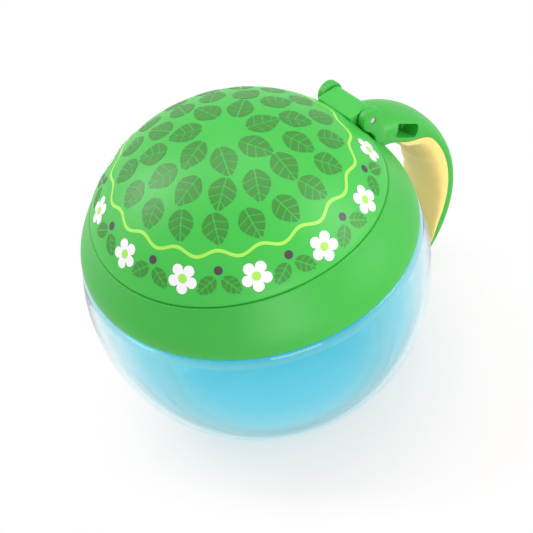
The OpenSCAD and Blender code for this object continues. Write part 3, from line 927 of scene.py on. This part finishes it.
def lug_outline(s):
    """Lug from the side: flat top, round barrel and a foot inside the dome's wall."""
    front, top, foot = s.pin_y - s.lug_front, s.pin_z + s.lug_r, s.rim_z + 0.6
    nose = rounded([(front, top - 2.1), (front, top), (front + 2, top)], [0, 0.4, 0])
    barrel = arc((s.pin_y, s.pin_z), s.lug_r, range(90, -91, -10))
    return nose[:-1] + barrel + [(s.pin_y, foot), (front + 3.65, foot)]


class SNACKCUP_OT_lid(bpy.types.Operator):
    """Makes the dome lid with its lug and plug ring"""

    bl_idname = "snackcup.lid"
    bl_label = "Lid"

    def execute(self, context):
        s = cup()
        front = rim_tilt(s, pi / 2)
        section = lid_section(s, front)

        def place(u, v):
            turn = tau * u
            tilt, radius = section[round(v * (len(section) - 1))]
            stretch = rim_tilt(s, turn) / front
            tilt *= 1 + (stretch - 1) * (tilt / front) ** 2
            return on_dome(s, turn, tilt, radius)

        dome = sheet_of(192, len(section) - 1, place)
        ear_x, half = (s.ear_in + s.ear_out) / 2, (s.ear_out - s.ear_in) / 2 + s.run_gap
        bm = carve(dome, *(rod(s.ear_r + s.run_gap, x - half, x + half, s.pin_y, s.pin_z)
                           for x in (ear_x, -ear_x)))
        lug_half = s.ear_in - s.run_gap
        join(bm, slab(lug_outline(s), -lug_half, lug_half, 0.3))
        join(bm, self.plug(s))
        piece = finish_mesh(bm, "lid_dome",
                            polypropylene("satin_polypropylene_lid", colours().lid), 40)
        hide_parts("lid_shell")
        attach(piece, "lid")
        return {"FINISHED"}

    def plug(self, s):
        """Ring under the dome that enters the collar, with a groove for its seal."""
        r, low, wall, deep, tall = s.plug_r, s.plug_z, 1.6, 0.6, 1.34
        groove, top_r = low + 0.8, s.dome_r - s.lid_wall / 2

        def under_dome(radius):
            return s.dome_z + sqrt(top_r ** 2 - radius ** 2)

        corners = [(r - wall, low), (r, low), (r, groove), (r - deep, groove),
                   (r - deep, groove + tall), (r, groove + tall), (r, under_dome(r)),
                   (r - wall, under_dome(r - wall))]
        outline = rounded(corners, [0.4, 0.4] + [0.1] * 4 + [0, 0], 3)
        return spin_ring(outline, 160, -s.rim_shift)


# ---- the print on the lid ----


# Height over the lid of a printed film, and of its hidden underside, in millimetres.
INK_TOP, INK_FOOT = 0.06, -0.2


def ink_film(bm, s, spot, outline, proud=INK_TOP, rows=4):
    """A thin closed film on the dome. spot is (tilt, azimuth, turn) in degrees, and the
    outline is a ring of (outward, sideways) points in mm that its middle can see."""
    tilt, azimuth, turn = (radians(a) for a in spot)
    middle = Vector((sin(tilt) * cos(azimuth), sin(tilt) * sin(azimuth), cos(tilt)))
    outward = Vector((cos(tilt) * cos(azimuth), cos(tilt) * sin(azimuth), -sin(tilt)))
    sideways = middle.cross(outward)
    heart = sum((Vector(p) for p in outline), Vector((0, 0))) / len(outline)

    def place(u, v):
        row = round(v * (rows + 1))
        share, height = (row / rows, proud) if row <= rows else (0.0, INK_FOOT)
        point = heart + (Vector(outline[round(u * len(outline)) % len(outline)]) - heart) * share
        a = point.x * cos(turn) - point.y * sin(turn)
        b = point.x * sin(turn) + point.y * cos(turn)
        angle = hypot(a, b) / s.dome_r
        way = outward * a + sideways * b
        if way.length > 0:
            way.normalize()
        spot_at = (middle * cos(angle) + way * sin(angle)) * (s.dome_r + height)
        return (spot_at.x, spot_at.y - s.rim_shift, spot_at.z + s.dome_z)

    film = sheet_of(len(outline), rows + 1, place)
    close_up(film)
    join(bm, film)


def leaf_parts(long, wide):
    """Ink areas of a pointed leaf, with its midrib and slanting side veins left bare."""
    rib, vein, slant = 0.2, 0.14 / long, 0.14
    cuts = (0, 0.27, 0.5, 0.72, 1)
    stem, tip, outer_tip = 0.04, 0.96, 0.97

    def edge(t):
        return (long * (t - 0.5), rib + (wide / 2 - rib) * sin(pi * t) ** 0.8 * (1.25 - 0.5 * t))

    parts = []
    for low, high in zip(cuts, cuts[1:]):
        start = low + vein if low else stem
        stop = high - vein if high < 1 else tip
        out_start = start + slant if low else start
        out_stop = min(outer_tip, stop + slant) if high < 1 else outer_tip
        outer = [edge(out_start + (out_stop - out_start) * i / 5) for i in range(6)]
        inner = [(long * (stop - 0.5), rib), (long * (start - 0.5), rib)]
        parts += [[(x, side * y) for x, y in outer + inner] for side in (1, -1)]
    return parts


def blossom(radius, petals=5, count=60):
    """Round flower with notched petals."""
    notch, fullness = 0.52, 0.55
    points = []
    for i in range(count):
        share = abs(cos(petals * pi * i / count)) ** fullness
        r, a = radius * (notch + (1 - notch) * share), tau * i / count
        points.append((r * cos(a), r * sin(a)))
    return points


def border_spots(s, shift, count=12):
    """Azimuths of the border's motifs that stay clear of the lug and the ears."""
    first, tilt, hinge_half, hinge_y = 15, 52, 14, 26
    spots = [360 * (k + shift) / count + first for k in range(count)]
    places = [on_dome(s, radians(a), radians(tilt), s.dome_r) for a in spots]
    return [a for a, (x, y, _z) in zip(spots, places) if abs(x) >= hinge_half or y <= hinge_y]


class SNACKCUP_OT_print(bpy.types.Operator):
    """Prints a wreath of leaves, blossoms and berries on the lid"""

    bl_idname = "snackcup.print"
    bl_label = "Lid print"

    def execute(self, context):
        s = cup()
        inks = colours()
        leaves, lines, flowers, berries = (bmesh.new() for _ in range(4))
        # Rings of leaves: tilt from the axis, count, leaf length, leaf width and lean.
        wreaths = ((13, 7, 9.6, 6.8, 14), (24.5, 13, 9.2, 6.9, -16), (35.6, 18, 8.4, 6.6, 14))
        for tilt, count, long, wide, lean in wreaths:
            for k in range(count):
                azimuth = 360 * (k + tilt / 50) / count
                for part in leaf_parts(long, wide):
                    ink_film(leaves, s, (tilt, azimuth, lean), part, rows=2)
        self.wavy_ring(lines, s)
        all_round = range(0, 360, 18)
        for azimuth in border_spots(s, 0.5):
            spot = (51.8, azimuth, 0)
            ink_film(flowers, s, spot, blossom(3.9))
            ink_film(lines, s, spot, arc((0, 0), 1.15, all_round), proud=0.1, rows=2)
        for azimuth in border_spots(s, 1):
            for side in (1, -1):
                for part in leaf_parts(6.0, 4.0):
                    ink_film(leaves, s, (53.4, azimuth + side * 5, side * 48), part, rows=2)
            ink_film(berries, s, (48.6, azimuth, 0), arc((0, 0), 1.1, all_round), rows=2)
        for bm, name, material in ((leaves, "leaf_print", pad_ink("pad_ink_green", inks.leaf_ink)),
                                   (lines, "line_print", pad_ink("pad_ink_lime", inks.line_ink)),
                                   (flowers, "blossom_print",
                                    pad_ink("pad_ink_white", inks.flower_ink)),
                                   (berries, "berry_print",
                                    pad_ink("pad_ink_charcoal", inks.berry_ink))):
            piece = finish_mesh(bm, name, material, 30)
            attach(piece, "lid")
        return {"FINISHED"}

    def wavy_ring(self, bm, s):
        """Adds a closed wavy line round the dome."""
        tilt, wave, waves, width = 43.5, 1.1, 18, 0.9
        corners = ((-0.5, INK_TOP), (0, INK_TOP), (0.5, INK_TOP), (0.5, INK_FOOT),
                   (-0.5, INK_FOOT))

        def place(u, v):
            share, height = corners[round(v * 5) % 5]
            turn = tau * u
            middle = radians(tilt + wave * sin(waves * turn))
            return on_dome(s, turn, middle + share * width / s.dome_r, s.dome_r + height)

        film = sheet_of(288, 5, place)
        close_up(film)
        join(bm, film)


class SNACKCUP_OT_pin(bpy.types.Operator):
    """Turns the steel hinge pin with rounded ends"""

    bl_idname = "snackcup.pin"
    bl_label = "Hinge pin"

    def execute(self, context):
        s = cup()
        low, high = bottom_of("hinge_pin"), top_of("hinge_pin")
        r, half = (high.z - low.z) / 2 / MM, high.x / MM
        bm = rod(r, -half, half, s.pin_y, s.pin_z, segments=48)
        round_edges(bm, end_edges(bm), 0.2, 2)
        piece = finish_mesh(bm, "hinge_pin_turned",
                            turned_steel("turned_stainless_steel", colours().pin), 30)
        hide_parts("hinge_pin")
        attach(piece, "collar")
        return {"FINISHED"}


# ---- stage, lamps and camera ----


class SNACKCUP_OT_stage(bpy.types.Operator):
    """Lays the pale floor and sets the lamps, the sky and the camera"""

    bl_idname = "snackcup.stage"
    bl_label = "Stage"

    def execute(self, context):
        self.floor()
        self.sky(context)
        self.lamps(context)
        self.camera(context)
        return {"FINISHED"}

    def floor(self):
        # Matt painted board, warm white: it takes a soft shadow. A painted white glow lies over it
        # for the camera and reflections, at 0.45 within 36 mm of a point to the right of the cup
        # and full beyond 76 mm, so the shadow shows only there; through the bowl it is a painted
        # near-white glow.
        bm, half_side, warm_white = bmesh.new(), 1.5, (1, 0.95, 0.94)
        bmesh.ops.create_grid(bm, x_segments=1, y_segments=1, size=half_side)
        floor = link_mesh(bm, "floor")
        floor.location.z = -0.2 * MM
        material, tree = new_material("matt_painted_board")
        matt = add(tree, "ShaderNodeBsdfDiffuse", {"Color": rgba(warm_white)})
        white = add(tree, "ShaderNodeEmission", {"Color": (1, 1, 1, 1), "Strength": 1.0})
        place = add(tree, "ShaderNodeTexCoord").outputs["Object"]
        shadow_middle = (30 * MM, 2 * MM, 0)
        away = add(tree, "ShaderNodeVectorMath", {"operation": "DISTANCE", 1: shadow_middle},
                   {0: place})
        painted_white_glow = add(tree, "ShaderNodeMapRange",
                    {"interpolation_type": "SMOOTHSTEP", "From Min": 36 * MM, "From Max": 76 * MM,
                     "To Min": 0.45, "To Max": 1.0}, {"Value": away})
        path = add(tree, "ShaderNodeLightPath")
        direct = add(tree, "ShaderNodeMath", {"operation": "MULTIPLY"},
                     {0: self.any_of(tree, path, "Is Camera Ray", "Is Glossy Ray"), 1: painted_white_glow})
        # Painted light: rays through the bowl see the floor as a near-white glow.
        through = add(tree, "ShaderNodeMath", {"operation": "MULTIPLY", 1: 0.95},
                      {0: path.outputs["Is Transmission Ray"]})
        share = add(tree, "ShaderNodeMath", {"operation": "MAXIMUM"}, {0: direct, 1: through})
        mix = add(tree, "ShaderNodeMixShader", links={0: share, 1: matt, 2: white})
        add(tree, "ShaderNodeOutputMaterial", links={"Surface": mix})
        floor.data.materials.append(material)

    def sky(self, context):
        """White all round: in full for what is seen, and half as strong as a light."""
        world = bpy.data.worlds.new("studio_white")
        context.scene.world = world
        world.use_nodes = True
        tree = world.node_tree
        tree.nodes.clear()
        path = add(tree, "ShaderNodeLightPath")
        shown = self.any_of(tree, path, "Is Camera Ray", "Is Glossy Ray", "Is Transmission Ray")
        seen = add(tree, "ShaderNodeMapRange", {"To Min": 0.5, "To Max": 1.0}, {"Value": shown})
        sky = add(tree, "ShaderNodeBackground", {"Color": (1, 1, 1, 1)}, {"Strength": seen})
        add(tree, "ShaderNodeOutputWorld", links={"Surface": sky})

    def any_of(self, tree, path, *rays):
        """1 for rays of any of these kinds."""
        total = path.outputs[rays[0]]
        for ray in rays[1:]:
            total = add(tree, "ShaderNodeMath", {"operation": "MAXIMUM"},
                        {0: total, 1: path.outputs[ray]})
        return total

    def lamps(self, context):
        """Four softboxes that face the cup: place and size in metres, power in watts."""
        middle = Vector((0, 0, 45 * MM))
        for name, place, size, power in (
                ("left_softbox", (-0.45, -0.25, 0.45), (0.3, 0.5), 2.0),
                ("right_softbox", (0.42, 0.42, 0.35), (0.3, 0.5), 2.0),
                ("top_softbox", (-0.1, 0.15, 0.7), (0.5, 0.4), 1.3),
                ("low_softbox", (0.45, -0.16, 0.12), (0.25, 0.2), 0.55)):
            lamp = bpy.data.lights.new(name, "AREA")
            lamp.shape = "RECTANGLE"
            lamp.size, lamp.size_y = size
            lamp.energy = power
            holder = bpy.data.objects.new(name, lamp)
            context.scene.collection.objects.link(holder)
            holder.location = place
            facing = (middle - holder.location).to_track_quat("-Z", "Y")
            holder.rotation_euler = facing.to_euler()

    def camera(self, context):
        """Stands the camera where the photograph was taken from."""
        azimuth, elevation, roll = (radians(a) for a in (59.0, 45.29, 12.06))
        distance, focal, frame_px = 450 * MM, 1707.2, 533
        aside, up_by = -4.46 * MM, 9.36 * MM
        back = Vector((sin(azimuth) * cos(elevation),
                       -cos(azimuth) * cos(elevation), sin(elevation)))
        right = Vector((cos(azimuth), sin(azimuth), 0))
        up = back.cross(right)
        right, up = (right * cos(roll) - up * sin(roll), right * sin(roll) + up * cos(roll))
        place = Vector((0, 0, bottom_of("collar").z)) + back * distance - right * aside - up * up_by
        lens = bpy.data.cameras.new("photo_camera")
        lens.sensor_width = 36
        lens.lens = focal * lens.sensor_width / frame_px
        lens.clip_start = 0.01
        camera = bpy.data.objects.new("photo_camera", lens)
        context.scene.collection.objects.link(camera)
        turn = Matrix((right, up, back)).transposed().to_4x4()
        camera.matrix_world = Matrix.Translation(place) @ turn
        context.scene.camera = camera
        context.scene.view_settings.view_transform = "Standard"


# ---- panel, registering and the run ----

STEPS = ("bowl", "collar", "handle", "grip", "membrane", "seals", "lid", "print", "pin", "stage")


class SNACKCUP_PT_panel(bpy.types.Panel):
    """Lists the cup's pieces, its sizes and its colours"""

    bl_label = "Snack Cup"
    bl_space_type = "VIEW_3D"
    bl_region_type = "UI"
    bl_category = "Snack Cup"

    def draw(self, context):
        for step in STEPS:
            self.layout.operator(f"snackcup.{step}")
        for group in (context.scene.snack_cup_sizes, context.scene.snack_cup_colours):
            for name in group.bl_rna.properties.keys():
                if name not in ("rna_type", "name"):
                    self.layout.prop(group, name)


CLASSES = (SNACKCUP_PG_sizes, SNACKCUP_PG_colours, SNACKCUP_OT_bowl, SNACKCUP_OT_collar,
           SNACKCUP_OT_handle, SNACKCUP_OT_grip, SNACKCUP_OT_membrane, SNACKCUP_OT_seals,
           SNACKCUP_OT_lid, SNACKCUP_OT_print, SNACKCUP_OT_pin, SNACKCUP_OT_stage,
           SNACKCUP_PT_panel)


def register():
    for cls in CLASSES:
        bpy.utils.register_class(cls)
    bpy.types.Scene.snack_cup_sizes = PointerProperty(type=SNACKCUP_PG_sizes)
    bpy.types.Scene.snack_cup_colours = PointerProperty(type=SNACKCUP_PG_colours)


def unregister():
    del bpy.types.Scene.snack_cup_colours
    del bpy.types.Scene.snack_cup_sizes
    for cls in reversed(CLASSES):
        bpy.utils.unregister_class(cls)


def main():
    register()
    for step in STEPS:
        getattr(bpy.ops.snackcup, step)()


if __name__ == "__main__":
    main()
